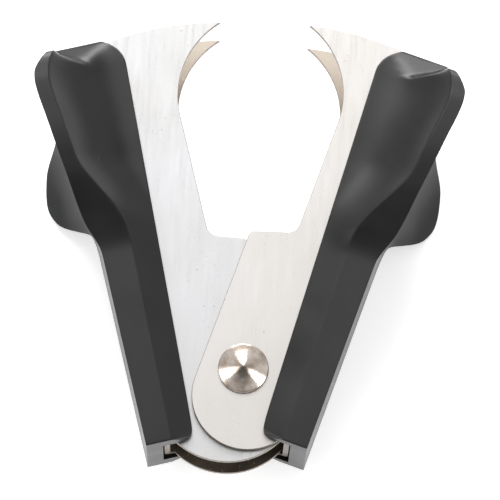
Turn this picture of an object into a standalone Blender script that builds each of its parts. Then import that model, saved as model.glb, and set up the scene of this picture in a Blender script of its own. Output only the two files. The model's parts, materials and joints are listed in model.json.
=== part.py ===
"""A claw staple remover lying on its side, held open by its spring.

Two sheet-metal jaws, each folded to a channel, turn on one rivet, the inner jaw between the
outer jaw's cheeks. Each jaw carries a moulded grip on its back. Z is the rivet's axis and +Y
runs from the hinge to the teeth. Each half is drawn upright in its own plane, where "out" is
the distance from the rivet towards the user's hand and "up" is the distance towards the teeth,
and is then leant outwards about the rivet.
"""

import math

import bmesh
import bpy
from mathutils import Matrix, Vector

MM = 0.001

# Assembly
LEAN = math.radians(16.6)        # each half leans out by this when the jaws are open
FIT_GAP = 0.25 * MM              # clearance between two pieces that fit together

# Jaws: one sheet, folded to a channel
SHEET = 0.8 * MM
OUTER_HALF = 5.45 * MM           # half the outer jaw's width along the rivet
INNER_HALF = OUTER_HALF - SHEET - FIT_GAP
BEND = 1.1 * MM                  # outside radius of the two folds
OUTER_WEB = 9.1 * MM             # rivet axis to the back of the outer jaw's web
INNER_WEB = 12.3 * MM            # rivet axis to the back of the inner jaw's web
WEB_FOOT = -7.1 * MM             # lower end of both webs
WEB_TOP = 40.5 * MM              # upper end of both webs
SHOULDER = 3.6 * MM              # how far the cheeks step in from the web to meet the crown
CLAW_TOP = 48.8 * MM             # highest point of the claw's crown
CROWN_RADIUS = 42.0 * MM
CROWN_OUT = 1.5 * MM             # where the crown is highest
TOOTH_REACH = 8.0 * MM           # how far the tooth leans over the mouth, from the rivet's line
TOOTH_RADIUS = 12.25 * MM
TOOTH_DROP = 1.05 * MM           # the tooth's tip is this far below the claw's top
MOUTH_EDGE = 0.3 * MM            # the straight edge of the cheeks below the tooth
STEP_TILT = math.radians(18.0)   # the step at the mouth's floor, from square
OUTER_STEP = 19.9 * MM           # height of that step at the mouth's edge
INNER_STEP = 19.0 * MM
OUTER_CHEEK = -5.6 * MM          # the cheeks' edge past the rivet
INNER_CHEEK = -4.6 * MM
STEP_FILLET = 1.6 * MM
CHEEK_FILLET = 0.9 * MM
OUTER_NOSE_BACK = OUTER_WEB - 0.1 * MM           # the outer hinge end's round runs from here
OUTER_NOSE_RADIUS = (OUTER_NOSE_BACK - OUTER_CHEEK) / 2.0
INNER_NOSE_BACK = INNER_WEB + 0.2 * MM
INNER_NOSE_RADIUS = 10.0 * MM
OUTER_NOSE = (OUTER_NOSE_BACK - OUTER_NOSE_RADIUS, -3.1 * MM, OUTER_NOSE_RADIUS)
INNER_NOSE = (INNER_NOSE_BACK - INNER_NOSE_RADIUS, -1.7 * MM, INNER_NOSE_RADIUS)

# Rivet
SHANK_RADIUS = 1.6 * MM
HEAD_RADIUS = 3.33 * MM
HEAD_RIM = 0.45 * MM
HEAD_DOME = 1.5 * MM
TAIL_RADIUS = 2.7 * MM
TAIL_HEIGHT = 0.9 * MM
TAIL_CHAMFER = 0.75 * MM         # how far the tail's bevel runs in
TAIL_SIDE = 0.5 * MM             # height of the tail below its bevel

# Spring
WIRE_RADIUS = 0.42 * MM
COIL_RADIUS = SHANK_RADIUS + WIRE_RADIUS + 0.83 * MM       # to the middle of the wire
COIL_TURNS = 5
COIL_FILL = 0.94                 # share of the width between the inner cheeks
LEG_UP = 13.0 * MM               # how far up the webs the two legs reach

# Grips
GRIP_FOOT = -7.6 * MM            # lower end of the grips, from the rivet
GRIP_LENGTH = 56.0 * MM
BACK_WALL = 2.5 * MM             # from the web's back to the grip's back
LIP = 1.0 * MM                   # height of the grip's front lip over the jaw
GRIP_HALF = OUTER_HALF + FIT_GAP + LIP + 0.8 * MM          # half thickness along the rivet
HEAD_CLEARANCE = 1.82 * MM       # from the rivet's head to the outer grip's front edge
FRONT_AT_FOOT = HEAD_RADIUS + HEAD_CLEARANCE - OUTER_WEB - BACK_WALL      # from the grip's back
FRONT_SLOPE = -0.048             # the grip is wider towards the teeth
RIDGE_AT_FOOT = -3.4 * MM        # where the chamfer beside the lip meets the flat side
RIDGE_SLOPE = -0.025
FOOT_FILLET = 1.3 * MM
TOP_FILLET = 4.0 * MM
TOP_REACH = 0.95                 # share of that fillet that is left by the flat top end
ROOF_DROP = 4.0 * MM             # height of the bevel at the grip's top end
ROOF_WALL = 0.7 * MM             # wall over the pocket at the very top
RIM = 2.0 * MM                   # thickness of the two wings' rims
RIM_FADE = 0.85                  # share of it that is gone at the top end
SCOOP_FOOT = 0.5                 # share of the grip's length where the finger scoop begins
SCOOP_RUN = 12.0 * MM            # height over which its edge crosses to the wing's rim
SCOOP_DISH = 1.3
FACET_AT = 0.47                  # share of the scoop's width that the top's bevel starts over
WING_CURL = 3.0

# Stations along a wing's rim: share of the grip's length, out from the back, rise over GRIP_HALF.
NEAR_WING = (
    (0.47, 0.0 * MM, 0.0 * MM),
    (0.56, 1.5 * MM, 1.0 * MM),
    (0.68, 2.4 * MM, 2.8 * MM),
    (0.80, 3.2 * MM, 3.7 * MM),
    (0.90, 3.75 * MM, 3.8 * MM),
    (0.935, 3.4 * MM, 3.7 * MM),
    (0.955, 2.5 * MM, 3.5 * MM),
    (0.965, 1.6 * MM, 2.8 * MM),
    (0.975, 0.3 * MM, 0.8 * MM),
    (0.985, 0.0 * MM, -0.6 * MM),
    (1.0, 0.0 * MM, -1.3 * MM),
)
FAR_WING = (
    (0.53, 0.0 * MM, 0.0 * MM),
    (0.595, 0.3 * MM, 0.9 * MM),
    (0.62, 2.4 * MM, 2.1 * MM),
    (0.65, 4.5 * MM, 3.2 * MM),
    (0.70, 5.4 * MM, 3.8 * MM),
    (0.78, 4.6 * MM, 3.8 * MM),
    (0.855, 2.4 * MM, 2.9 * MM),
    (0.92, 0.6 * MM, 0.9 * MM),
    (0.97, 0.0 * MM, -0.3 * MM),
    (1.0, 0.0 * MM, -1.6 * MM),
)
SIDE_STEPS = 7
BACK_STEPS = 12


# ---------------------------------------------------------------- scene and materials

def clear_scene():
    for old in list(bpy.data.objects):
        bpy.data.objects.remove(old, do_unlink=True)


def make_material(name, colour, roughness, metallic):
    mat = bpy.data.materials.new(name)
    mat.use_nodes = True
    shader = mat.node_tree.nodes["Principled BSDF"]
    shader.inputs["Base Color"].default_value = (*colour, 1.0)
    shader.inputs["Roughness"].default_value = roughness
    shader.inputs["Metallic"].default_value = metallic
    return mat


def make_pivot(name):
    """An empty on the hinge's axis, the parent of one half's pieces."""
    pivot = bpy.data.objects.new(name, None)
    bpy.context.scene.collection.objects.link(pivot)
    return pivot


def make_object(name, bm, parent, mat, smooth=None):
    bm.normal_update()
    bmesh.ops.recalc_face_normals(bm, faces=bm.faces)
    mesh = bpy.data.meshes.new(name)
    bm.to_mesh(mesh)
    bm.free()
    if smooth is not None:
        mesh.shade_smooth()
        mesh.set_sharp_from_angle(angle=math.radians(smooth))
    if mat is not None:
        mesh.materials.append(mat)
    obj = bpy.data.objects.new(name, mesh)
    bpy.context.scene.collection.objects.link(obj)
    obj.parent = parent
    return obj


def subtract(target, cutter):
    cut = target.modifiers.new("cut_" + cutter.name, "BOOLEAN")
    cut.operation = "DIFFERENCE"
    cut.solver = "EXACT"
    cut.object = cutter
    cutter.hide_render = True
    cutter.display_type = "WIRE"


# ---------------------------------------------------------------- geometry helpers

def half_matrix(side):
    """From a half's own plane (out, up, along the rivet) to the world. side is +1 or -1 in X."""
    out = Vector((side * math.cos(LEAN), -math.sin(LEAN), 0.0))
    up = Vector((side * math.sin(LEAN), math.cos(LEAN), 0.0))
    return Matrix((out, up, (0.0, 0.0, 1.0))).transposed().to_4x4()


def fillet(corner, before, after, radius, steps=6):
    """Points of the round that replaces a corner between two straight edges."""
    corner = Vector(corner)
    a = (Vector(before) - corner).normalized()
    b = (Vector(after) - corner).normalized()
    half = a.angle(b) / 2.0
    centre = corner + (a + b).normalized() * (radius / math.sin(half))
    start = corner + a * (radius / math.tan(half)) - centre
    end = corner + b * (radius / math.tan(half)) - centre
    turn = start.angle_signed(end)
    return [centre + Matrix.Rotation(-turn * i / steps, 2) @ start for i in range(steps + 1)]


def arc(centre, radius, first, last, steps):
    """Points on a circle from one angle to another, in radians."""
    turn = (last - first) / steps
    angles = [first + turn * i for i in range(steps + 1)]
    return [Vector((centre[0] + radius * math.cos(t), centre[1] + radius * math.sin(t)))
            for t in angles]


def slab(outline, low, high):
    """The outline (out, up) extruded from low to high along the rivet."""
    bm = bmesh.new()
    face = bm.faces.new([bm.verts.new((p[0], p[1], low)) for p in outline])
    pushed = bmesh.ops.extrude_face_region(bm, geom=[face])
    top = [v for v in pushed["geom"] if isinstance(v, bmesh.types.BMVert)]
    bmesh.ops.translate(bm, verts=top, vec=(0.0, 0.0, high - low))
    return bm


def round_fold(bm, out, half, radius, steps):
    """Rounds the two long edges at (out, +-half) that run up a slab."""
    edges = [e for e in bm.edges
             if all(abs(v.co.x - out) < 1e-6 and abs(abs(v.co.z) - half) < 1e-6 for v in e.verts)
             and abs(e.verts[0].co.y - e.verts[1].co.y) > 10.0 * radius]
    bmesh.ops.bevel(bm, geom=edges, offset=radius, segments=steps, profile=0.5, affect="EDGES")


def turned(profile, steps):
    """A solid turned about the rivet's axis from (radius, height) points."""
    bm = bmesh.new()
    verts = [bm.verts.new((r, 0.0, z)) for r, z in profile]
    edges = [bm.edges.new(pair) for pair in zip(verts, verts[1:])]
    bmesh.ops.spin(bm, geom=verts + edges, cent=(0, 0, 0), axis=(0, 0, 1),
                   angle=2.0 * math.pi, steps=steps, use_merge=True)
    bmesh.ops.remove_doubles(bm, verts=bm.verts, dist=1e-7)
    return bm


def smooth(x):
    x = min(1.0, max(0.0, x))
    return x * x * (3.0 - 2.0 * x)


# ---------------------------------------------------------------- jaws

def claw_outline(web, step, cheek, nose):
    """One jaw's cheek, from the foot of the web round by the nose, mouth, tooth and crown."""
    nose_out, nose_up, nose_radius = nose
    tip_rise = math.acos((TOOTH_RADIUS - MOUTH_EDGE - TOOTH_REACH) / TOOTH_RADIUS)
    tooth_centre = Vector((MOUTH_EDGE - TOOTH_RADIUS,
                           CLAW_TOP - TOOTH_DROP - TOOTH_RADIUS * math.sin(tip_rise)))
    crown_centre = Vector((CROWN_OUT, CLAW_TOP - CROWN_RADIUS))
    floor_end = Vector((cheek, step + (cheek - MOUTH_EDGE) * math.tan(STEP_TILT)))
    floor_start = Vector((MOUTH_EDGE, step))
    foot_arc = math.asin((WEB_FOOT - nose_up) / nose_radius)
    low_cheek = max(cheek, nose_out - nose_radius)
    leave = -math.pi - math.asin(min(1.0, (low_cheek - nose_out + nose_radius) / nose_radius))
    below = Vector((nose_out, nose_up)) + nose_radius * Vector((math.cos(leave), math.sin(leave)))

    points = [Vector((web, WEB_FOOT))]
    points += arc((nose_out, nose_up), nose_radius, foot_arc, leave, 28)
    points += fillet(floor_end, below, floor_start, CHEEK_FILLET)
    points += fillet(floor_start, floor_end, tooth_centre + Vector((TOOTH_RADIUS, 0.0)), STEP_FILLET)
    points += arc(tooth_centre, TOOTH_RADIUS, 0.0, tip_rise, 16)
    first = math.atan2(points[-1].y - crown_centre.y, points[-1].x - crown_centre.x)
    last = math.acos((web - SHOULDER - crown_centre.x) / CROWN_RADIUS)
    points += arc(crown_centre, CROWN_RADIUS, first, last, 10)[1:]
    points.append(Vector((web, WEB_TOP)))
    return points


def make_jaw(name, side, half, web, step, cheek, nose, stop, pivot, mat):
    """A folded channel: a thick slab with its inside and the rivet's hole cut out."""
    bm = slab(claw_outline(web, step, cheek, nose), -half, half)
    if stop is not None:
        sheet = bm.verts[:] + bm.edges[:] + bm.faces[:]
        cut = bmesh.ops.bisect_plane(bm, geom=sheet, plane_co=stop[0], plane_no=stop[1],
                                     clear_outer=True)
        rim = [e for e in cut["geom_cut"] if isinstance(e, bmesh.types.BMEdge)]
        bmesh.ops.holes_fill(bm, edges=rim)
    round_fold(bm, web, half, BEND, 4)
    bm.transform(half_matrix(side))
    jaw = make_object(name, bm, pivot, mat, smooth=30)

    inside = [(-60 * MM, -40 * MM), (web - SHEET, -40 * MM), (web - SHEET, 80 * MM), (-60 * MM, 80 * MM)]
    bm = slab(inside, SHEET - half, half - SHEET)
    round_fold(bm, web - SHEET, half - SHEET, BEND - SHEET, 3)
    bm.transform(half_matrix(side))
    subtract(jaw, make_object(name + "_inside_cutter", bm, pivot, None))

    hole = SHANK_RADIUS + FIT_GAP
    bm = bmesh.new()
    bmesh.ops.create_cone(bm, cap_ends=True, segments=32, radius1=hole, radius2=hole, depth=4.0 * half)
    subtract(jaw, make_object(name + "_hole_cutter", bm, pivot, None))
    return jaw


def stop_plane():
    """The inner jaw's nose is cut flat here, where it rests on the outer web when open."""
    to_inner = half_matrix(-1).inverted() @ half_matrix(1)
    point = to_inner @ Vector((OUTER_WEB - SHEET - FIT_GAP, 0.0, 0.0))
    normal = to_inner.to_3x3() @ Vector((1.0, 0.0, 0.0))
    return point, normal


# ---------------------------------------------------------------- rivet and spring

def make_rivet(pivot, mat):
    seat = OUTER_HALF + FIT_GAP
    crown = seat + HEAD_RIM
    dome_radius = (HEAD_RADIUS ** 2 + HEAD_DOME ** 2) / (2.0 * HEAD_DOME)
    spread = math.asin(HEAD_RADIUS / dome_radius)
    profile = [(0.0, -seat - TAIL_HEIGHT), (TAIL_RADIUS - TAIL_CHAMFER, -seat - TAIL_HEIGHT),
               (TAIL_RADIUS, -seat - TAIL_SIDE), (TAIL_RADIUS, -seat),
               (SHANK_RADIUS, -seat), (SHANK_RADIUS, seat), (HEAD_RADIUS, seat)]
    for i in range(7):
        t = spread * (1.0 - i / 6.0)
        profile.append((dome_radius * math.sin(t),
                        crown + HEAD_DOME - dome_radius * (1.0 - math.cos(t))))
    return make_object("pivot_rivet", turned(profile, 40), pivot, mat, smooth=35)


def spring_path():
    """The wire's middle: a leg along the outer web, the coil round the rivet, the other leg."""
    height = 2.0 * (INNER_HALF - SHEET - FIT_GAP - WIRE_RADIUS) * COIL_FILL
    outer, inner = half_matrix(1), half_matrix(-1)
    reach = FIT_GAP + WIRE_RADIUS + SHEET
    outer_end = outer @ Vector((OUTER_WEB - reach, LEG_UP, height / 2.0))
    inner_end = inner @ Vector((INNER_WEB - reach, LEG_UP, -height / 2.0))

    def tangent(end, hand):
        """Angle on the coil where a straight leg to this end leaves it."""
        flat = Vector((end.x, end.y))
        return math.atan2(flat.y, flat.x) - hand * math.acos(COIL_RADIUS / flat.length)

    first = tangent(outer_end, 1)
    last = tangent(inner_end, -1)
    sweep = (last - first) % (2.0 * math.pi) + 2.0 * math.pi * COIL_TURNS
    steps = round(sweep / math.radians(15))
    coil = []
    for i in range(steps + 1):
        share = i / steps
        t = first + sweep * share
        coil.append(Vector((COIL_RADIUS * math.cos(t), COIL_RADIUS * math.sin(t),
                            height * (0.5 - share))))
    leg_a = [outer_end.lerp(coil[0], i / 5) for i in range(5)]
    leg_b = [coil[-1].lerp(inner_end, i / 5) for i in range(1, 6)]
    return leg_a + coil + leg_b


def make_spring(pivot, mat):
    """The bent wire, swept as eight-sided rings along its path."""
    path = spring_path()
    bm = bmesh.new()
    rings = []
    for i, here in enumerate(path):
        along = (path[min(i + 1, len(path) - 1)] - path[max(i - 1, 0)]).normalized()
        across = along.cross(Vector((0.0, 0.0, 1.0))).normalized()
        over = across.cross(along)
        rings.append([bm.verts.new(here + WIRE_RADIUS * (math.cos(t) * across + math.sin(t) * over))
                      for t in [math.pi * k / 4.0 for k in range(8)]])
    for low, high in zip(rings, rings[1:]):
        for k in range(8):
            bm.faces.new((low[k], low[(k + 1) % 8], high[(k + 1) % 8], high[k]))
    bm.faces.new(rings[0])
    bm.faces.new(rings[-1])
    return make_object("torsion_spring", bm, pivot, mat, smooth=50)


# ---------------------------------------------------------------- grips

def rim_at(wing, share):
    """Out and half thickness of a wing's rim at a share of the grip's length."""
    if share <= wing[0][0]:
        return wing[0][1], GRIP_HALF + wing[0][2]
    low, high = next(pair for pair in zip(wing, wing[1:]) if share <= pair[1][0])
    t = (share - low[0]) / (high[0] - low[0])
    return low[1] + (high[1] - low[1]) * t, GRIP_HALF + low[2] + (high[2] - low[2]) * t


def front_edge(s):
    """Where the grip's front edge is at height s above its foot."""
    edge = FRONT_AT_FOOT + FRONT_SLOPE * s
    if s < FOOT_FILLET:
        edge += FOOT_FILLET - math.sqrt(FOOT_FILLET ** 2 - (FOOT_FILLET - s) ** 2)
    shoulder = GRIP_LENGTH - TOP_FILLET
    if s > shoulder:
        rise = min(TOP_REACH * TOP_FILLET, s - shoulder)
        edge += TOP_FILLET - math.sqrt(TOP_FILLET ** 2 - rise ** 2)
    return edge


def crease_at(s, rim_out):
    """The flat side's front edge: the chamfer's ridge, then out to the wing's rim."""
    ridge = RIDGE_AT_FOOT + RIDGE_SLOPE * s
    rim = RIM * (1.0 - RIM_FADE * smooth((s - GRIP_LENGTH + ROOF_DROP) / ROOF_DROP))
    return ridge + (rim_out - rim - ridge) * smooth((s - SCOOP_FOOT * GRIP_LENGTH) / SCOOP_RUN)


def side_height(share, s, crest, lip, roof):
    """Half thickness at a share of the way from the front edge to the crease, s up the grip."""
    dish = 1.0 + SCOOP_DISH * smooth((s - SCOOP_FOOT * GRIP_LENGTH) / SCOOP_RUN)
    over = (s - (GRIP_LENGTH - ROOF_DROP)) / ROOF_DROP
    if over <= 0.0:
        return lip + (crest - lip) * share ** dish
    bevel = GRIP_HALF + (roof - GRIP_HALF) * over
    start = FACET_AT + (1.0 - FACET_AT) * over
    if share <= start:
        return min(lip + (crest - lip) * share ** dish, bevel)
    run = (share - start) / (1.0 - start)
    wing = lip + (crest - lip) * (FACET_AT + (1.0 - FACET_AT) * run) ** dish
    return wing + (bevel - lip - (crest - lip) * FACET_AT ** dish) * (1.0 - run)


def grip_section(s, lip, roof):
    """The closed outline (out from the back, along the rivet) of the grip at height s."""
    share = s / GRIP_LENGTH
    points = []
    for wing, sign in ((NEAR_WING, 1.0), (FAR_WING, -1.0)):
        rim = rim_at(wing, share)
        rim = (rim[0], max(rim[1], roof))
        front = front_edge(s)
        crease = crease_at(s, rim[0])
        ring = []
        for i in range(SIDE_STEPS + 1):
            across = i / SIDE_STEPS
            height = side_height(across, s, rim[1], lip, roof)
            ring.append((front + (crease - front) * across, sign * height))
        ring.append((rim[0], sign * rim[1]))
        for i in range(1, BACK_STEPS // 2):
            w = rim[1] * (1.0 - 2.0 * i / BACK_STEPS)
            ring.append((rim[0] * (w / rim[1]) ** WING_CURL, sign * w))
        points += ring if sign > 0 else ring[::-1]
    return points


def grip_stations():
    """Heights of the sections, closer together where the grip curves quickly."""
    fine = [0.50 + 0.02 * i for i in range(14)] + [0.80, 0.85, 0.89, 0.91]
    top = [0.9286, 0.94, 0.95, 0.96, 0.968, 0.975, 0.985, 1.0]
    foot = [0.0, 0.3 * FOOT_FILLET / GRIP_LENGTH, FOOT_FILLET / GRIP_LENGTH, 0.45]
    return [GRIP_LENGTH * share for share in foot + fine + top]


def make_grip(name, side, half, web, pivot, mat):
    """A lofted handle with a pocket that the back of its jaw sits in."""
    pocket = half + FIT_GAP
    lip = pocket + LIP
    back = web + BACK_WALL
    bm = bmesh.new()
    rings = []
    for s in grip_stations():
        section = grip_section(s, lip, pocket + ROOF_WALL)
        rings.append([bm.verts.new((back + u, GRIP_FOOT + s, w)) for u, w in section])
    count = len(rings[0])
    for low, high in zip(rings, rings[1:]):
        for k in range(count):
            bm.faces.new((low[k], low[(k + 1) % count], high[(k + 1) % count], high[k]))
    bm.faces.new(rings[0])
    bm.faces.new(rings[-1])
    bmesh.ops.recalc_face_normals(bm, faces=bm.faces)
    bmesh.ops.dissolve_limit(bm, angle_limit=math.radians(0.05), verts=bm.verts, edges=bm.edges)
    bmesh.ops.triangulate(bm, faces=bm.faces)
    bm.transform(half_matrix(side))
    grip = make_object(name, bm, pivot, mat, smooth=35)

    shoulder = web - SHOULDER
    edge = web + FIT_GAP
    outline = [(-40 * MM, -40 * MM), (edge, -40 * MM), (edge, WEB_TOP + FIT_GAP),
               (shoulder + FIT_GAP, CLAW_TOP + FIT_GAP), (shoulder, 90 * MM), (-40 * MM, 90 * MM)]
    bm = slab(outline, -pocket, pocket)
    bm.transform(half_matrix(side))
    subtract(grip, make_object(name + "_pocket_cutter", bm, pivot, None))
    return grip


# ---------------------------------------------------------------- assembly

def stand_at_origin(pivots):
    """Moves both halves so that the whole box stands on Z = 0, centred on X and Y."""
    bpy.context.view_layer.update()
    graph = bpy.context.evaluated_depsgraph_get()
    corners = []
    for obj in bpy.data.objects:
        if obj.type == "MESH" and not obj.hide_render:
            corners += [obj.matrix_world @ v.co for v in obj.evaluated_get(graph).data.vertices]
    low = Vector([min(c[i] for c in corners) for i in range(3)])
    high = Vector([max(c[i] for c in corners) for i in range(3)])
    for pivot in pivots:
        pivot.location = (-(low.x + high.x) / 2.0, -(low.y + high.y) / 2.0, -low.z)


def main():
    clear_scene()
    nickel = make_material("nickel_plate", (0.82, 0.81, 0.78), 0.22, 1.0)
    polished = make_material("rivet_nickel", (0.78, 0.76, 0.72), 0.12, 1.0)
    spring_steel = make_material("spring_steel", (0.42, 0.41, 0.40), 0.35, 1.0)
    plastic = make_material("black_plastic", (0.012, 0.012, 0.013), 0.32, 0.0)

    outer = make_pivot("outer_half")
    inner = make_pivot("inner_half")
    make_jaw("outer_jaw", 1, OUTER_HALF, OUTER_WEB, OUTER_STEP, OUTER_CHEEK, OUTER_NOSE,
             None, outer, nickel)
    make_jaw("inner_jaw", -1, INNER_HALF, INNER_WEB, INNER_STEP, INNER_CHEEK, INNER_NOSE,
             stop_plane(), inner, nickel)
    make_grip("outer_grip", 1, OUTER_HALF, OUTER_WEB, outer, plastic)
    make_grip("inner_grip", -1, INNER_HALF, INNER_WEB, inner, plastic)
    make_rivet(outer, polished)
    make_spring(outer, spring_steel)
    stand_at_origin((outer, inner))


main()
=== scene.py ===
import json
import math

import bmesh
import bpy
from mathutils import Matrix, Vector


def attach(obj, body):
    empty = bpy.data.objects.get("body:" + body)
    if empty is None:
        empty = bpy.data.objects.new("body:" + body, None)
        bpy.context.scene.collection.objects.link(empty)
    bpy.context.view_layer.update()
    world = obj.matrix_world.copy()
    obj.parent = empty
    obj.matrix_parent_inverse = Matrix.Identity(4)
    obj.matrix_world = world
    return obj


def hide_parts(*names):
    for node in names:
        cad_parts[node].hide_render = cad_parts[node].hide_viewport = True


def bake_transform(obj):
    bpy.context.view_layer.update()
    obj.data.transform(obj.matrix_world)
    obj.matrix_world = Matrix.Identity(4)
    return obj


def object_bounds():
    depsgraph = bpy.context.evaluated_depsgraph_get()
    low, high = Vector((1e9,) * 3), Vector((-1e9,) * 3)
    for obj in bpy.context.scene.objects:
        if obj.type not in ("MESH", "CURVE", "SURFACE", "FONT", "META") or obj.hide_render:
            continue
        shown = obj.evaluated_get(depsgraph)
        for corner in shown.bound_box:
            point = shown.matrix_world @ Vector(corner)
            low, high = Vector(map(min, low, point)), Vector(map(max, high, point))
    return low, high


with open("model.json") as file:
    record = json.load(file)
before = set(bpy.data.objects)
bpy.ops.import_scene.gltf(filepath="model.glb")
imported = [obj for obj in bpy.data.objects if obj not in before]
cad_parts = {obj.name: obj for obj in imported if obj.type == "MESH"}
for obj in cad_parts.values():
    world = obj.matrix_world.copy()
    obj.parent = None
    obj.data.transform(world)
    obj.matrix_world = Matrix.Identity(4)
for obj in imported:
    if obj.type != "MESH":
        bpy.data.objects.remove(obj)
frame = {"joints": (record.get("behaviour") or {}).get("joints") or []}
cad_box = [list(corner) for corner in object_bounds()]


# The outer jaw: one piece of 0.8 mm sheet steel, blanked, folded to a channel and nickel plated.
# Its two cheeks carry the curved teeth and lie outside the inner jaw's. The blank is drawn in the
# jaw's own plane, out from the rivet to the hand and up from the rivet to the teeth.
MM = 0.001
PIVOT = Vector(frame["joints"][0]["pos_m"])
LEAN = math.radians(16.6)
SHEET = 0.8 * MM
FOLD = 1.1 * MM
WEB_FOOT = -7.1 * MM
WEB_TOP = 40.5 * MM
CLAW_TOP = 48.8 * MM
TOOTH_RADIUS = 12.25 * MM
TOOTH_CENTRE = Vector((-11.95 * MM, 36.15 * MM))
CROWN_RADIUS = 42.0 * MM
CROWN_CENTRE = Vector((1.5 * MM, CLAW_TOP - CROWN_RADIUS))
MOUTH_EDGE = 0.3 * MM
MOUTH_SLOPE = math.radians(18.0)
FLOOR_ROUND = 0.9 * MM
MOUTH_ROUND = 1.6 * MM
SHOULDER = 3.6 * MM
RIVET_HOLE = 1.72 * MM
EDGE_ROUND = 0.09 * MM
FIT_GAP = 0.25 * MM
MERGE = 1e-7
OUTER_HALF = 5.45 * MM
OUTER_WEB = 9.1 * MM
OUTER_FLOOR = 19.9 * MM
OUTER_CHEEK = -5.6 * MM
OUTER_NOSE = (1.7 * MM, -3.1 * MM, 7.3 * MM)


def half_plane(side):
    out = Vector((side * math.cos(LEAN), -math.sin(LEAN), 0.0))
    up = Vector((side * math.sin(LEAN), math.cos(LEAN), 0.0))
    turn = Matrix((out, up, (0.0, 0.0, 1.0))).transposed().to_4x4()
    return Matrix.Translation(PIVOT) @ turn


def draw_to(bm, pen, point):
    tip = bmesh.ops.extrude_vert_indiv(bm, verts=[pen])["verts"][0]
    tip.co = (point[0], point[1], 0.0)
    return tip


def verts_in(geom):
    return [v for v in geom if isinstance(v, bmesh.types.BMVert)]


def edges_in(geom):
    return [e for e in geom if isinstance(e, bmesh.types.BMEdge)]


def draw_round(bm, pen, centre, turn, steps):
    swept = bmesh.ops.spin(bm, geom=[pen], cent=(centre[0], centre[1], 0.0), axis=(0, 0, 1),
                           angle=turn, steps=steps)
    return verts_in(swept["geom_last"])[0]


def draw_corner(bm, pen, corner, after, radius, steps=8):
    corner = Vector(corner[:2])
    back = (Vector(pen.co[:2]) - corner).normalized()
    ahead = (Vector(after[:2]) - corner).normalized()
    half = back.angle(ahead) / 2.0
    centre = corner + (back + ahead).normalized() * (radius / math.sin(half))
    pen = draw_to(bm, pen, corner + back * (radius / math.tan(half)))
    turn = math.copysign(math.pi - 2.0 * half, back.x * ahead.y - back.y * ahead.x)
    return draw_round(bm, pen, centre, -turn, steps)


def claw_blank(web, step, cheek, nose):
    nose_centre, nose_radius = Vector(nose[:2]), nose[2]
    foot = math.asin((WEB_FOOT - nose_centre.y) / nose_radius)
    low_cheek = max(cheek, nose_centre.x - nose_radius)
    leave = math.pi + math.asin((nose_centre.x - nose_radius - low_cheek) / nose_radius)
    start = nose_centre + nose_radius * Vector((math.cos(foot), math.sin(foot)))
    floor_end = Vector((cheek, step + (cheek - MOUTH_EDGE) * math.tan(MOUTH_SLOPE)))
    floor_start = Vector((MOUTH_EDGE, step))
    gap = CROWN_CENTRE - TOOTH_CENTRE
    near = (TOOTH_RADIUS ** 2 - CROWN_RADIUS ** 2 + gap.length ** 2) / (2.0 * gap.length)
    tip_turn = math.atan2(gap.y, gap.x) + math.acos(near / TOOTH_RADIUS)

    bm = bmesh.new()
    first = bmesh.ops.create_vert(bm, co=(web, WEB_FOOT, 0.0))["vert"][0]
    pen = draw_to(bm, first, start)
    pen = draw_round(bm, pen, nose_centre, leave - 2.0 * math.pi - foot, 48)
    pen = draw_corner(bm, pen, floor_end, floor_start, FLOOR_ROUND)
    pen = draw_corner(bm, pen, floor_start, (MOUTH_EDGE, TOOTH_CENTRE.y), MOUTH_ROUND)
    pen = draw_to(bm, pen, (MOUTH_EDGE, TOOTH_CENTRE.y))
    pen = draw_round(bm, pen, TOOTH_CENTRE, tip_turn, 36)
    tip = Vector(pen.co[:2]) - CROWN_CENTRE
    shoulder = math.acos((web - SHOULDER - CROWN_CENTRE.x) / CROWN_RADIUS)
    pen = draw_round(bm, pen, CROWN_CENTRE, shoulder - math.atan2(tip.y, tip.x), 24)
    pen = draw_to(bm, pen, (web, WEB_TOP))
    bm.edges.new((pen, first))
    bmesh.ops.remove_doubles(bm, verts=bm.verts, dist=MERGE)
    bmesh.ops.contextual_create(bm, geom=bm.edges[:])
    return bm


def thicken(bm, half):
    bmesh.ops.translate(bm, verts=bm.verts, vec=(0.0, 0.0, -half))
    pushed = bmesh.ops.extrude_face_region(bm, geom=bm.faces[:])
    bmesh.ops.translate(bm, verts=verts_in(pushed["geom"]), vec=(0.0, 0.0, 2.0 * half))
    bmesh.ops.recalc_face_normals(bm, faces=bm.faces)


def round_fold(bm, out, half, radius, steps):
    folds = []
    for edge in bm.edges:
        on_line = all(abs(v.co.x - out) < 1e-6 and abs(abs(v.co.z) - half) < 1e-6
                      for v in edge.verts)
        if on_line and edge.calc_length() > 10.0 * radius:
            folds.append(edge)
    bmesh.ops.bevel(bm, geom=folds, offset=radius, segments=steps, profile=0.5, affect="EDGES",
                    material=-1)


def finish_mesh(name, bm, materials):
    mesh = bpy.data.meshes.new(name)
    bm.normal_update()
    bmesh.ops.recalc_face_normals(bm, faces=bm.faces)
    bm.to_mesh(mesh)
    bm.free()
    for mat in materials:
        mesh.materials.append(mat)
    obj = bpy.data.objects.new(name, mesh)
    bpy.context.scene.collection.objects.link(obj)
    return obj


def cut_away(piece, bm):
    tool = finish_mesh("tool", bm, [])
    step = piece.modifiers.new("cut", "BOOLEAN")
    step.operation = "DIFFERENCE"
    step.solver = "EXACT"
    step.object = tool
    apply_modifiers(piece)
    bpy.data.objects.remove(tool)


def apply_modifiers(piece):
    graph = bpy.context.evaluated_depsgraph_get()
    made = bpy.data.meshes.new_from_object(piece.evaluated_get(graph), depsgraph=graph)
    piece.modifiers.clear()
    piece.data = made


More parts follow.
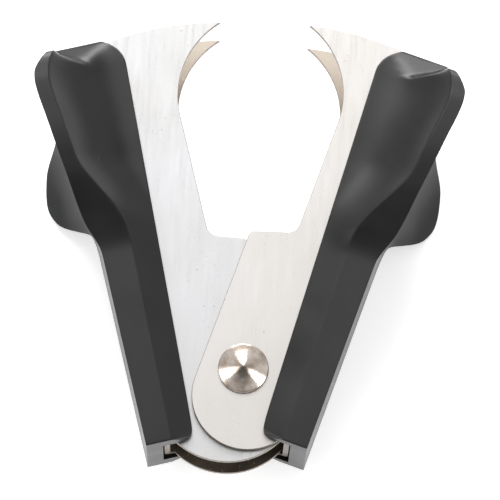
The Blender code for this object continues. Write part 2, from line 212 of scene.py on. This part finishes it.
# The bevel strips take the given material. The jaws pass the dark sheared edge, so a thin dark
# line runs along every bevelled plate edge: partly the real cut edge, partly painted shade of the
# gap at the edge.
def soften_edges(piece, material):
    edge = piece.modifiers.new("edges", "BEVEL")
    edge.width = EDGE_ROUND
    edge.segments = 2
    edge.limit_method = "ANGLE"
    edge.angle_limit = math.radians(40)
    edge.harden_normals = True
    edge.material = material
    piece.data.shade_smooth()


# Material slots: plated faces; sheared cut edges, whose dark colour also paints a thin shade line
# on the bevelled edges; faces inside the channel, painted with shade.
PLATED, SHEARED_AND_SHADE_LINE, PAINTED_SHADE_INSIDE = 0, 1, 2


def press_jaw(name, side, half, web, step, cheek, nose, materials, stop=None):
    bm = claw_blank(web, step, cheek, nose)
    thicken(bm, half)
    if stop is not None:
        cut = bmesh.ops.bisect_plane(bm, geom=bm.verts[:] + bm.edges[:] + bm.faces[:],
                                     plane_co=stop[0], plane_no=stop[1], clear_outer=True)
        bmesh.ops.holes_fill(bm, edges=edges_in(cut["geom_cut"]))
    for face in bm.faces:
        sheared = abs(face.normal.z) < 0.5 and face.calc_center_median().x < web - 0.01 * MM
        face.material_index = SHEARED_AND_SHADE_LINE if sheared else PLATED
    round_fold(bm, web, half, FOLD, 8)
    bm.transform(half_plane(side))
    jaw = finish_mesh(name, bm, materials)

    bm = bmesh.new()
    wide, tall, inside = 80 * MM, 140 * MM, half - SHEET
    bmesh.ops.create_cube(bm, size=1.0)
    bmesh.ops.scale(bm, verts=bm.verts, vec=(wide, tall, 2.0 * inside))
    bmesh.ops.translate(bm, verts=bm.verts, vec=(web - SHEET - wide / 2.0, 20 * MM, 0.0))
    round_fold(bm, web - SHEET, inside, FOLD - SHEET, 4)
    bm.transform(half_plane(side))
    cut_away(jaw, bm)
    # Faces inside the channel take the dark material: painted shade.
    to_plane = half_plane(side).inverted()
    for face in jaw.data.polygons:
        spot = to_plane @ face.center
        if abs(spot.z) < inside + 0.01 * MM and spot.x < web - SHEET + 0.01 * MM:
            face.material_index = PAINTED_SHADE_INSIDE

    bm = bmesh.new()
    bmesh.ops.create_cone(bm, cap_ends=True, segments=64, radius1=RIVET_HOLE, radius2=RIVET_HOLE,
                          depth=4.0 * half)
    bmesh.ops.translate(bm, verts=bm.verts, vec=PIVOT)
    cut_away(jaw, bm)
    # The bevels take the dark sheared material, painting a thin shade line along the plate edges.
    soften_edges(jaw, SHEARED_AND_SHADE_LINE)
    return jaw


def nodes_of(name):
    mat = bpy.data.materials.new(name)
    mat.use_nodes = True
    tree = mat.node_tree
    return mat, tree.nodes, tree.links, tree.nodes["Principled BSDF"]


def grey(level):
    return (level, level, level)


def place_along(nodes, links, output, axis):
    where = nodes.new("ShaderNodeTexCoord")
    split = nodes.new("ShaderNodeSeparateXYZ")
    links.new(where.outputs[output], split.inputs["Vector"])
    return split.outputs[axis]


def noise_of(nodes, links, size, detail, stretch=(1.0, 1.0, 1.0)):
    where = nodes.new("ShaderNodeTexCoord")
    mapping = nodes.new("ShaderNodeMapping")
    mapping.inputs["Scale"].default_value = stretch
    links.new(where.outputs["Object"], mapping.inputs["Vector"])
    noise = nodes.new("ShaderNodeTexNoise")
    noise.inputs["Scale"].default_value = 1.0 / size
    noise.inputs["Detail"].default_value = detail
    links.new(mapping.outputs["Vector"], noise.inputs["Vector"])
    return noise.outputs["Fac"]


def ramp(nodes, links, value, low, high, dark, light):
    stops = nodes.new("ShaderNodeValToRGB")
    stops.color_ramp.elements[0].position = low
    stops.color_ramp.elements[1].position = high
    stops.color_ramp.elements[0].color = (*dark, 1.0)
    stops.color_ramp.elements[1].color = (*light, 1.0)
    links.new(value, stops.inputs["Fac"])
    return stops.outputs["Color"]


def mixed(nodes, links, share, first, second):
    mix = nodes.new("ShaderNodeMix")
    mix.data_type = "RGBA"
    for socket, value in ((mix.inputs[0], share), (mix.inputs[6], first), (mix.inputs[7], second)):
        if isinstance(value, tuple):
            socket.default_value = (*value, 1.0)
        else:
            links.new(value, socket)
    return mix.outputs[2]


def bumped(nodes, links, height, depth, strength, under=None):
    bump = nodes.new("ShaderNodeBump")
    bump.inputs["Strength"].default_value = strength
    bump.inputs["Distance"].default_value = depth
    links.new(height, bump.inputs["Height"])
    if under is not None:
        links.new(under, bump.inputs["Normal"])
    return bump.outputs["Normal"]


def nickel_plate(name, bright, stained):
    mat, nodes, links, shader = nodes_of(name)
    shader.inputs["Metallic"].default_value = 0.95
    cloud = noise_of(nodes, links, 14 * MM, 4.0)
    spots = noise_of(nodes, links, 1.2 * MM, 2.0)
    grain = noise_of(nodes, links, 0.5 * MM, 5.0, (1.0, 0.08, 1.0))
    scores = noise_of(nodes, links, 1.6 * MM, 1.0, (1.0, 0.02, 1.0))
    dots = noise_of(nodes, links, 0.4 * MM, 2.0)
    patch = noise_of(nodes, links, 8 * MM, 3.0)
    tint = ramp(nodes, links, cloud, 0.35, 0.7, bright, stained)
    speck = ramp(nodes, links, spots, 0.74, 0.80, grey(0.0), grey(0.8))
    dust = ramp(nodes, links, dots, 0.66, 0.72, grey(0.0), grey(0.55))
    where = ramp(nodes, links, patch, 0.50, 0.62, grey(0.0), grey(1.0))
    dusty = mixed(nodes, links, where, grey(0.0), dust)
    specked = mixed(nodes, links, speck, tint, (0.33, 0.26, 0.19))
    links.new(mixed(nodes, links, dusty, specked, (0.36, 0.29, 0.21)),
              shader.inputs["Base Color"])
    rough = ramp(nodes, links, grain, 0.3, 0.7, grey(0.26), grey(0.34))
    links.new(rough, shader.inputs["Roughness"])
    fine = bumped(nodes, links, grain, 0.002 * MM, 0.12)
    line = ramp(nodes, links, scores, 0.76, 0.80, grey(0.0), grey(1.0))
    links.new(bumped(nodes, links, line, 0.003 * MM, 0.25, fine), shader.inputs["Normal"])
    return mat


def sheared_steel(name):
    mat, nodes, links, shader = nodes_of(name)
    shader.inputs["Metallic"].default_value = 1.0
    tear = noise_of(nodes, links, 0.35 * MM, 4.0, (1.0, 1.0, 0.25))
    links.new(ramp(nodes, links, tear, 0.3, 0.7, (0.20, 0.17, 0.145), (0.33, 0.29, 0.25)),
              shader.inputs["Base Color"])
    shader.inputs["Roughness"].default_value = 0.42
    links.new(bumped(nodes, links, tear, 0.02 * MM, 0.5), shader.inputs["Normal"])
    return mat


# Faces inside the jaw's channel get a dark brown base: painted shade of the hollow between the
# cheeks, blended lighter towards the teeth as painted light where the mouth opens. A mottle and
# pale specks vary it at random.
def painted_shade_inside(name):
    mat, nodes, links, shader = nodes_of(name)
    shader.inputs["Metallic"].default_value = 0.9
    shade_mottle = noise_of(nodes, links, 5 * MM, 5.0)
    specks = noise_of(nodes, links, 0.5 * MM, 2.0)
    tint = ramp(nodes, links, shade_mottle, 0.35, 0.65, (0.28, 0.24, 0.19), (0.14, 0.115, 0.09))
    up = place_along(nodes, links, "Object", "Y")
    painted_light_near_teeth = ramp(nodes, links, up, 12 * MM, 27 * MM, grey(0.0), grey(1.0))
    tint = mixed(nodes, links, painted_light_near_teeth, tint, (0.43, 0.38, 0.325))
    dots = ramp(nodes, links, specks, 0.66, 0.74, grey(0.0), grey(1.0))
    links.new(mixed(nodes, links, dots, tint, (0.5, 0.45, 0.38)), shader.inputs["Base Color"])
    shader.inputs["Roughness"].default_value = 0.38
    links.new(bumped(nodes, links, shade_mottle, 0.02 * MM, 0.3), shader.inputs["Normal"])
    return mat


shaded_inside_paint = painted_shade_inside("painted_shade_inside")
warm_nickel = nickel_plate("warm_nickel_plate", (0.60, 0.583, 0.567), (0.565, 0.54, 0.51))
sheared_edge_and_shade_line = sheared_steel("sheared_edge_and_shade_line")
outer_jaw = press_jaw("outer_jaw_claw", 1, OUTER_HALF, OUTER_WEB, OUTER_FLOOR, OUTER_CHEEK,
                      OUTER_NOSE, [warm_nickel, sheared_edge_and_shade_line, shaded_inside_paint])
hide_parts("outer_jaw")
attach(outer_jaw, "outer_half")


# The inner jaw: the same pressing, narrower and with a deeper nose, so that its cheeks turn
# between the outer jaw's. Its nose is cut flat, to lie along the outer web when open.
INNER_HALF = OUTER_HALF - SHEET - FIT_GAP
INNER_WEB = 12.3 * MM
INNER_FLOOR = 19.0 * MM
INNER_CHEEK = -4.6 * MM
INNER_NOSE = (2.5 * MM, -1.7 * MM, 10.0 * MM)
to_inner = half_plane(-1).inverted() @ half_plane(1)
rest_point = to_inner @ Vector((OUTER_WEB - SHEET - FIT_GAP, 0.0, 0.0))
rest_normal = to_inner.to_3x3() @ Vector((1.0, 0.0, 0.0))

cool_nickel = nickel_plate("cool_nickel_plate", (0.575, 0.575, 0.585), (0.545, 0.54, 0.53))
inner_jaw = press_jaw("inner_jaw_claw", -1, INNER_HALF, INNER_WEB, INNER_FLOOR, INNER_CHEEK,
                      INNER_NOSE, [cool_nickel, sheared_edge_and_shade_line, shaded_inside_paint],
                      (rest_point, rest_normal))
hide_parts("inner_jaw")
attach(inner_jaw, "inner_half")


# The two grips: satin black mouldings, left and right hand, pushed over the backs of the jaws.
# A bar with a chamfered front runs up to a finger scoop under a tall wing on the near side, with
# a rounder, lower ear on the far side. The tall wing's rim is flat and about 2 mm thick.
GRIP_FOOT = -7.6 * MM
GRIP_LENGTH = 56.0 * MM
GRIP_HALF = 7.5 * MM
BACK_WALL = 2.5 * MM
RIM = 2.0 * MM
RIM_FADE = 0.85
FRONT_AT_FOOT = -6.45 * MM
FRONT_SLOPE = 0.048
RIDGE_AT_FOOT = -3.4 * MM
RIDGE_SLOPE = 0.025
FOOT_ROUND = 1.3 * MM
TOP_ROUND = 4.0 * MM
TOP_REACH = 0.95
ROOF_DROP = 4.0 * MM
WING_STEP = 0.35 * MM
WING_RISE = 2.3 * MM
WING_BEND = 0.8
WING_CUT = 0.3 * MM
WING_LANDING = 0.6 * MM
TURN_SHARE = 0.15
LANDING_SHARE = 0.6
SCOOP_RUN = 12.0 * MM
SCOOP_DISH = 1.3
CREASE_AT = 0.62
FACET_AT = 0.47
LIP = 1.0 * MM
ROOF_WALL = 0.7 * MM
TALL_WING = ((0.0, 0.0, 0.0), (0.47, 0.0, 0.0), (0.56, 1.5, 1.0), (0.68, 2.4, 2.8),
             (0.80, 3.2, 3.7), (0.90, 3.75, 3.8), (0.935, 3.4, 3.7), (0.955, 2.5, 3.65),
             (0.968, 1.7, 3.6), (0.982, 0.3, 3.6), (0.99, 0.0, 3.6), (1.0, 0.0, 3.6))
LOW_EAR = ((0.0, 0.0, 0.0), (0.53, 0.0, 0.0), (0.595, 0.3, 0.9), (0.62, 2.4, 2.1),
           (0.65, 4.5, 3.2), (0.70, 5.4, 3.8), (0.78, 4.6, 3.8), (0.855, 2.4, 2.9),
           (0.92, 0.6, 0.9), (0.97, 0.0, 0.2), (1.0, 0.0, 0.0))


def ease(x):
    x = min(1.0, max(0.0, x))
    return x * x * (3.0 - 2.0 * x)


def along(stations, share):
    last = len(stations) - 1
    k = max(i for i in range(last) if share >= stations[i][0])
    low, high = stations[k], stations[k + 1]
    before, after = stations[max(k - 1, 0)], stations[min(k + 2, last)]
    span = high[0] - low[0]
    t = (share - low[0]) / span
    found = []
    for axis in (1, 2):
        rise = (high[axis] - low[axis]) / span
        left = (low[axis] - before[axis]) / (low[0] - before[0]) if k > 0 else rise
        right = (after[axis] - high[axis]) / (after[0] - high[0]) if k + 2 <= last else rise
        leave = 0.0 if left * rise <= 0.0 else 2.0 * left * rise / (left + rise)
        reach = 0.0 if right * rise <= 0.0 else 2.0 * right * rise / (right + rise)
        found.append((2 * t ** 3 - 3 * t ** 2 + 1) * low[axis]
                     + (t ** 3 - 2 * t ** 2 + t) * span * leave
                     + (3 * t ** 2 - 2 * t ** 3) * high[axis] + (t ** 3 - t ** 2) * span * reach)
    return found[0] * MM, found[1] * MM


def front_edge(s):
    edge = FRONT_AT_FOOT - FRONT_SLOPE * s
    if s < FOOT_ROUND:
        edge += FOOT_ROUND - math.sqrt(FOOT_ROUND ** 2 - (FOOT_ROUND - s) ** 2)
    shoulder = GRIP_LENGTH - TOP_ROUND
    if s > shoulder:
        rise = min(TOP_ROUND * TOP_REACH, s - shoulder)
        edge += TOP_ROUND - math.sqrt(TOP_ROUND ** 2 - rise ** 2)
    return edge


def crease_at(s, rim_out):
    ridge = RIDGE_AT_FOOT - RIDGE_SLOPE * s
    fade = 1.0 - RIM_FADE * ease((s - GRIP_LENGTH + ROOF_DROP) / ROOF_DROP)
    return ridge + (rim_out - RIM * fade - ridge) * ease((s - GRIP_LENGTH / 2.0) / SCOOP_RUN)


def wing_end(share):
    inward = min(1.0, max(0.0, (share - FACET_AT) / (1.0 - FACET_AT)))
    return GRIP_LENGTH - ROOF_DROP + WING_STEP + WING_RISE * inward ** WING_BEND


def height_up(level, share):
    bevel_foot = 1.0 - ROOF_DROP / GRIP_LENGTH
    if level <= bevel_foot:
        return level * GRIP_LENGTH
    rise = (level - bevel_foot) / (1.0 - bevel_foot)
    turn, landing = wing_end(share) - WING_CUT, wing_end(share) + WING_LANDING
    if rise < TURN_SHARE:
        return GRIP_LENGTH - ROOF_DROP + (turn - GRIP_LENGTH + ROOF_DROP) * rise / TURN_SHARE
    if rise < LANDING_SHARE:
        return turn + (landing - turn) * (rise - TURN_SHARE) / (LANDING_SHARE - TURN_SHARE)
    return landing + (GRIP_LENGTH - landing) * (rise - LANDING_SHARE) / (1.0 - LANDING_SHARE)


def side_height(share, s, crest, lip, roof):
    dish = 1.0 + SCOOP_DISH * ease((s - GRIP_LENGTH / 2.0) / SCOOP_RUN)
    wing = lip + (crest - lip) * share ** dish
    over = (s - (GRIP_LENGTH - ROOF_DROP)) / ROOF_DROP
    if over <= 0.0:
        return wing
    bevel = GRIP_HALF + (roof - GRIP_HALF) * over
    if wing <= bevel:
        return wing
    past = (s - wing_end(share) + WING_CUT) / (WING_CUT + WING_LANDING)
    return bevel + (wing - bevel) * (1.0 - ease(past))


def mould_grip(name, side, half, web, mat):
    pocket = half + FIT_GAP
    lip = pocket + LIP
    roof = pocket + ROOF_WALL
    bm = bmesh.new()
    bmesh.ops.create_cube(bm, size=1.0)
    bmesh.ops.translate(bm, verts=bm.verts, vec=(0.5, 0.5, 0.0))
    bmesh.ops.scale(bm, verts=bm.verts, vec=(1.0, 1.0, 2.0))
    widths = [CREASE_AT * k
              for k in (0.03, 0.12, 0.24, 0.36, 0.48, 0.6, 0.72, 0.83, 0.91, 0.965, 1.0)]
    widths += [0.64, 0.70, 0.80, 0.90, 0.965, 0.987]
    heights = [0.004, 0.012, 0.03, 0.1, 0.2, 0.3, 0.4, 0.45, 0.47, 0.48, 0.49]
    heights += [0.50 + 0.0125 * i for i in range(33)] + [0.908, 0.916]
    heights += [0.924 + 0.006 * i for i in range(12)] + [0.995]
    depths = [k * d for d in (0.08, 0.22, 0.36, 0.5, 0.62, 0.73, 0.82, 0.89, 0.94, 0.975)
              for k in (-1, 1)]
    for axis, cuts in ((0, widths), (1, heights), (2, depths + [0.0])):
        for at in cuts:
            place = Vector((0.0, 0.0, 0.0))
            place[axis] = at
            facing = Vector((0.0, 0.0, 0.0))
            facing[axis] = 1.0
            bmesh.ops.bisect_plane(bm, geom=bm.verts[:] + bm.edges[:] + bm.faces[:],
                                   plane_co=place, plane_no=facing)
    for vert in bm.verts:
        p, share, q = vert.co
        s = height_up(share, p / CREASE_AT)
        share = s / GRIP_LENGTH
        rim = along(TALL_WING if q >= 0.0 else LOW_EAR, min(share, 0.9999))
        crest = max(GRIP_HALF + rim[1], roof)
        front = front_edge(s)
        crease = crease_at(s, rim[0])
        if p < CREASE_AT:
            side_out = front + (crease - front) * p / CREASE_AT
        else:
            side_out = crease + (rim[0] - crease) * (p - CREASE_AT) / (1.0 - CREASE_AT)
        back_out = front + (rim[0] * abs(q) ** 3.0 - front) * p
        out = back_out + (side_out - back_out) * (abs(q) if p < 0.999 else 0.0)
        height = side_height(min(1.0, p / CREASE_AT), s, crest, lip, roof)
        vert.co = (web + BACK_WALL + out, GRIP_FOOT + s, q * height)
    bm.transform(half_plane(side))
    grip = finish_mesh(name, bm, [mat])
    smooth = grip.modifiers.new("round", "SUBSURF")
    smooth.levels = 1
    smooth.render_levels = 1
    apply_modifiers(grip)

    bm = bmesh.new()
    left, low, high = -40 * MM, -40 * MM, 90 * MM
    pen = first = bmesh.ops.create_vert(bm, co=(left, low, 0.0))["vert"][0]
    edge = web + FIT_GAP
    shoulder = web - SHOULDER
    for point in ((edge, low), (edge, WEB_TOP + FIT_GAP),
                  (shoulder + FIT_GAP, CLAW_TOP + FIT_GAP), (shoulder, high), (left, high)):
        pen = draw_to(bm, pen, point)
    bm.edges.new((pen, first))
    bmesh.ops.contextual_create(bm, geom=bm.edges[:])
    thicken(bm, pocket)
    bm.transform(half_plane(side))
    cut_away(grip, bm)
    shade(grip, 32)
    return grip


def shade(piece, sharp_from):
    piece.data.shade_smooth()
    piece.data.set_sharp_from_angle(angle=math.radians(sharp_from))


def moulded_black(name):
    mat, nodes, links, shader = nodes_of(name)
    haze = noise_of(nodes, links, 9 * MM, 3.0)
    pores = noise_of(nodes, links, 0.35 * MM, 2.0)
    scuffs = noise_of(nodes, links, 1.3 * MM, 2.0, (1.0, 0.05, 0.6))
    scratch = ramp(nodes, links, scuffs, 0.73, 0.80, grey(0.0), grey(0.7))
    base = ramp(nodes, links, haze, 0.3, 0.7, (0.003, 0.003, 0.0033), (0.005, 0.005, 0.0053))
    links.new(mixed(nodes, links, scratch, base, (0.045, 0.045, 0.047)),
              shader.inputs["Base Color"])
    rough = ramp(nodes, links, haze, 0.3, 0.7, grey(0.30), grey(0.40))
    links.new(mixed(nodes, links, scratch, rough, grey(0.5)), shader.inputs["Roughness"])
    shader.inputs["IOR"].default_value = 1.46
    skin = bumped(nodes, links, pores, 0.008 * MM, 0.45)
    links.new(bumped(nodes, links, haze, 0.05 * MM, 0.2, skin), shader.inputs["Normal"])
    return mat


black_plastic = moulded_black("moulded_black")
for grip_name, side, half, web in (("outer_grip", 1, OUTER_HALF, OUTER_WEB),
                                   ("inner_grip", -1, INNER_HALF, INNER_WEB)):
    grip = mould_grip(grip_name + "_moulding", side, half, web, black_plastic)
    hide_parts(grip_name)
    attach(grip, "outer_half" if side > 0 else "inner_half")


# The rivet: polished nickel-plated steel in one piece. A low, nearly conical head with a thin rim
# stands over the outer jaw's upper cheek, and the tail is set over its lower one.
SHANK = 1.6 * MM
HEAD = 3.33 * MM
SEAT = OUTER_HALF + 0.06 * MM
DOME = 1.5 * MM
TAIL = ((1.7, 0.9), (2.25, 0.82), (2.6, 0.55), (2.7, 0.25), (2.62, 0.0))
RIM_SIDE = ((0.08, 0.0), (0.0, 0.06), (0.0, 0.30), (0.08, 0.40))


def polished_nickel(name):
    mat, nodes, links, shader = nodes_of(name)
    shader.inputs["Metallic"].default_value = 1.0
    cloud = noise_of(nodes, links, 1.4 * MM, 5.0)
    # The base colour is mottled from bright warm nickel to dark warm patches: painted reflections
    # of the surroundings on the polished dome.
    links.new(ramp(nodes, links, cloud, 0.3, 0.7, (0.66, 0.59, 0.53), (0.34, 0.27, 0.22)),
              shader.inputs["Base Color"])
    links.new(ramp(nodes, links, cloud, 0.3, 0.7, grey(0.13), grey(0.24)),
              shader.inputs["Roughness"])
    links.new(bumped(nodes, links, cloud, 0.06 * MM, 0.5), shader.inputs["Normal"])
    return mat


bm = bmesh.new()
pen = bmesh.ops.create_vert(bm, co=(0.0, -SEAT - TAIL[0][1] * MM, 0.0))["vert"][0]
for out, below in TAIL:
    pen = draw_to(bm, pen, (out * MM, -SEAT - below * MM))
pen = draw_to(bm, pen, (SHANK, -SEAT))
pen = draw_to(bm, pen, (SHANK, SEAT))
for back, above in RIM_SIDE:
    pen = draw_to(bm, pen, (HEAD - back * MM, SEAT + above * MM))
for i in range(25):
    reach = 1.0 - i / 24.0
    pen = draw_to(bm, pen, ((HEAD - 0.14 * MM) * reach,
                            SEAT + 0.42 * MM + DOME * (1.0 - reach ** 1.3)))
bmesh.ops.rotate(bm, verts=bm.verts, cent=(0, 0, 0),
                 matrix=Matrix.Rotation(math.radians(90), 3, "X"))
bmesh.ops.spin(bm, geom=bm.verts[:] + bm.edges[:], cent=(0, 0, 0), axis=(0, 0, 1),
               angle=2.0 * math.pi, steps=96, use_merge=True)
bmesh.ops.remove_doubles(bm, verts=bm.verts, dist=MERGE)
bmesh.ops.translate(bm, verts=bm.verts, vec=PIVOT)
rivet = finish_mesh("rivet", bm, [polished_nickel("polished_nickel")])
shade(rivet, 40)
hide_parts("pivot_rivet")
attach(rivet, "outer_half")


# The spring: drawn steel wire wound round the rivet between the inner cheeks. One leg presses on
# each web and holds the jaws open, so the coil winds up as the tool is squeezed.
WIRE = 0.42 * MM
COIL = 2.85 * MM
LEG_UP = 13.0 * MM
COIL_TURNS = 5
COIL_FILL = 0.94
height = 2.0 * (INNER_HALF - SHEET - FIT_GAP - WIRE) * COIL_FILL
to_centre = Matrix.Translation(-PIVOT)


def leg_end(side, web, z):
    return to_centre @ half_plane(side) @ Vector((web - SHEET - FIT_GAP - WIRE, LEG_UP, z))


outer_end = leg_end(1, OUTER_WEB, height / 2.0)
inner_end = leg_end(-1, INNER_WEB, -height / 2.0)
leave_outer = math.atan2(outer_end.y, outer_end.x) - math.acos(COIL / outer_end.xy.length)
leave_inner = math.atan2(inner_end.y, inner_end.x) + math.acos(COIL / inner_end.xy.length)
wound = (leave_inner - leave_outer) % (2.0 * math.pi) + COIL_TURNS * 2.0 * math.pi
steps = round(wound / math.radians(6))


def spring_wire(name):
    mat, nodes, links, shader = nodes_of(name)
    shader.inputs["Metallic"].default_value = 1.0
    drawn = noise_of(nodes, links, 0.3 * MM, 3.0)
    links.new(ramp(nodes, links, drawn, 0.3, 0.7, (0.34, 0.33, 0.32), (0.52, 0.51, 0.50)),
              shader.inputs["Base Color"])
    shader.inputs["Roughness"].default_value = 0.33
    links.new(bumped(nodes, links, drawn, 0.01 * MM, 0.3), shader.inputs["Normal"])
    return mat


bm = bmesh.new()
ring = bmesh.ops.create_circle(bm, cap_ends=False, radius=WIRE, segments=16)["verts"]
bmesh.ops.rotate(bm, verts=ring, cent=(0, 0, 0), matrix=Matrix.Rotation(math.radians(90), 3, "X"))
bmesh.ops.translate(bm, verts=ring, vec=(COIL, 0.0, height / 2.0))
bmesh.ops.rotate(bm, verts=ring, cent=(0, 0, 0), matrix=Matrix.Rotation(leave_outer, 3, "Z"))
first_ring = list(bm.edges)
swept = bmesh.ops.spin(bm, geom=first_ring, cent=(0, 0, 0), axis=(0, 0, 1), angle=wound,
                       steps=steps, dvec=(0.0, 0.0, -height / steps))
last_ring = edges_in(swept["geom_last"])
for ends, target in ((first_ring, outer_end), (last_ring, inner_end)):
    centre = sum((v.co for e in ends for v in e.verts), Vector()) / (2.0 * len(ends))
    grown = bmesh.ops.extrude_edge_only(bm, edges=ends)["geom"]
    bmesh.ops.translate(bm, verts=verts_in(grown),
                        vec=Vector((target.x, target.y, centre.z)) - centre)
    bmesh.ops.contextual_create(bm, geom=[e for e in edges_in(grown) if e.is_boundary])
bmesh.ops.remove_doubles(bm, verts=bm.verts, dist=MERGE)
bmesh.ops.translate(bm, verts=bm.verts, vec=PIVOT)
spring = finish_mesh("spring", bm, [spring_wire("spring_wire")])
shade(spring, 50)
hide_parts("torsion_spring")
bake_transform(spring)


# The stage: a pale, faintly glowing floor, bright surroundings that darken high in front, broad
# soft lamps overhead, behind and on both sides, and a long lens high above the hinge end.
bm = bmesh.new()
bmesh.ops.create_grid(bm, x_segments=1, y_segments=1, size=3.0)
bmesh.ops.translate(bm, verts=bm.verts, vec=(0.0, 0.0, cad_box[0][2] - 0.0002))
mat, nodes, links, shader = nodes_of("pale_floor")
shader.inputs["Base Color"].default_value = (0.97, 0.97, 0.97, 1.0)
shader.inputs["Emission Color"].default_value = (1.0, 1.0, 1.0, 1.0)
shader.inputs["Emission Strength"].default_value = 0.4
shader.inputs["Roughness"].default_value = 0.7
floor = finish_mesh("floor", bm, [mat])

world = bpy.data.worlds.new("studio")
world.use_nodes = True
nodes, links = world.node_tree.nodes, world.node_tree.links
ahead = place_along(nodes, links, "Generated", "Y")
upward = place_along(nodes, links, "Generated", "Z")
sky = ramp(nodes, links, upward, 0.05, 0.45, grey(0.50), grey(0.72))
front = ramp(nodes, links, ahead, -0.5, 0.0, grey(0.12), grey(0.36))
high = ramp(nodes, links, upward, 0.60, 0.80, grey(0.0), grey(1.0))
links.new(mixed(nodes, links, high, sky, front), nodes["Background"].inputs["Color"])
nodes["Background"].inputs["Strength"].default_value = 1.25
bpy.context.scene.world = world
bpy.context.scene.view_settings.view_transform = "Standard"


def soft_light(name, place, size, power):
    lamp = bpy.data.lights.new(name, "AREA")
    lamp.shape = "SQUARE"
    lamp.size = size
    lamp.energy = power
    obj = bpy.data.objects.new(name, lamp)
    obj.location = place
    obj.rotation_euler = (-Vector(place)).to_track_quat("-Z", "Y").to_euler()
    bpy.context.scene.collection.objects.link(obj)


soft_light("overhead", (0.0, 0.27, 1.05), 0.6, 0.95)
soft_light("behind", (-0.15, 1.1, 0.95), 0.8, 25.0)
soft_light("left", (-1.15, -0.2, 0.95), 0.7, 5.5)
soft_light("right", (1.1, -0.4, 0.95), 0.6, 5.0)

DISTANCE = 0.45
ELEVATION = math.radians(75.5)
ROLL = math.radians(3.6)
forward = Vector((0.0, math.cos(ELEVATION), -math.sin(ELEVATION)))
right = Vector((1.0, 0.0, 0.0))
up = right.cross(forward)
turned_right = math.cos(ROLL) * right + math.sin(ROLL) * up
turned_up = math.cos(ROLL) * up - math.sin(ROLL) * right
head_top = PIVOT + Vector((0.0, 0.0, 5.75 * MM))
aim = head_top + 0.88 * MM * turned_right + 15.57 * MM * turned_up
camera = bpy.data.cameras.new("camera")
camera.lens = 246.2
camera.clip_start = 0.01
view = bpy.data.objects.new("camera", camera)
view.matrix_world = Matrix.Translation(aim - DISTANCE * forward) @ Matrix(
    (turned_right, turned_up, -forward)).transposed().to_4x4()
bpy.context.scene.collection.objects.link(view)
bpy.context.scene.camera = view
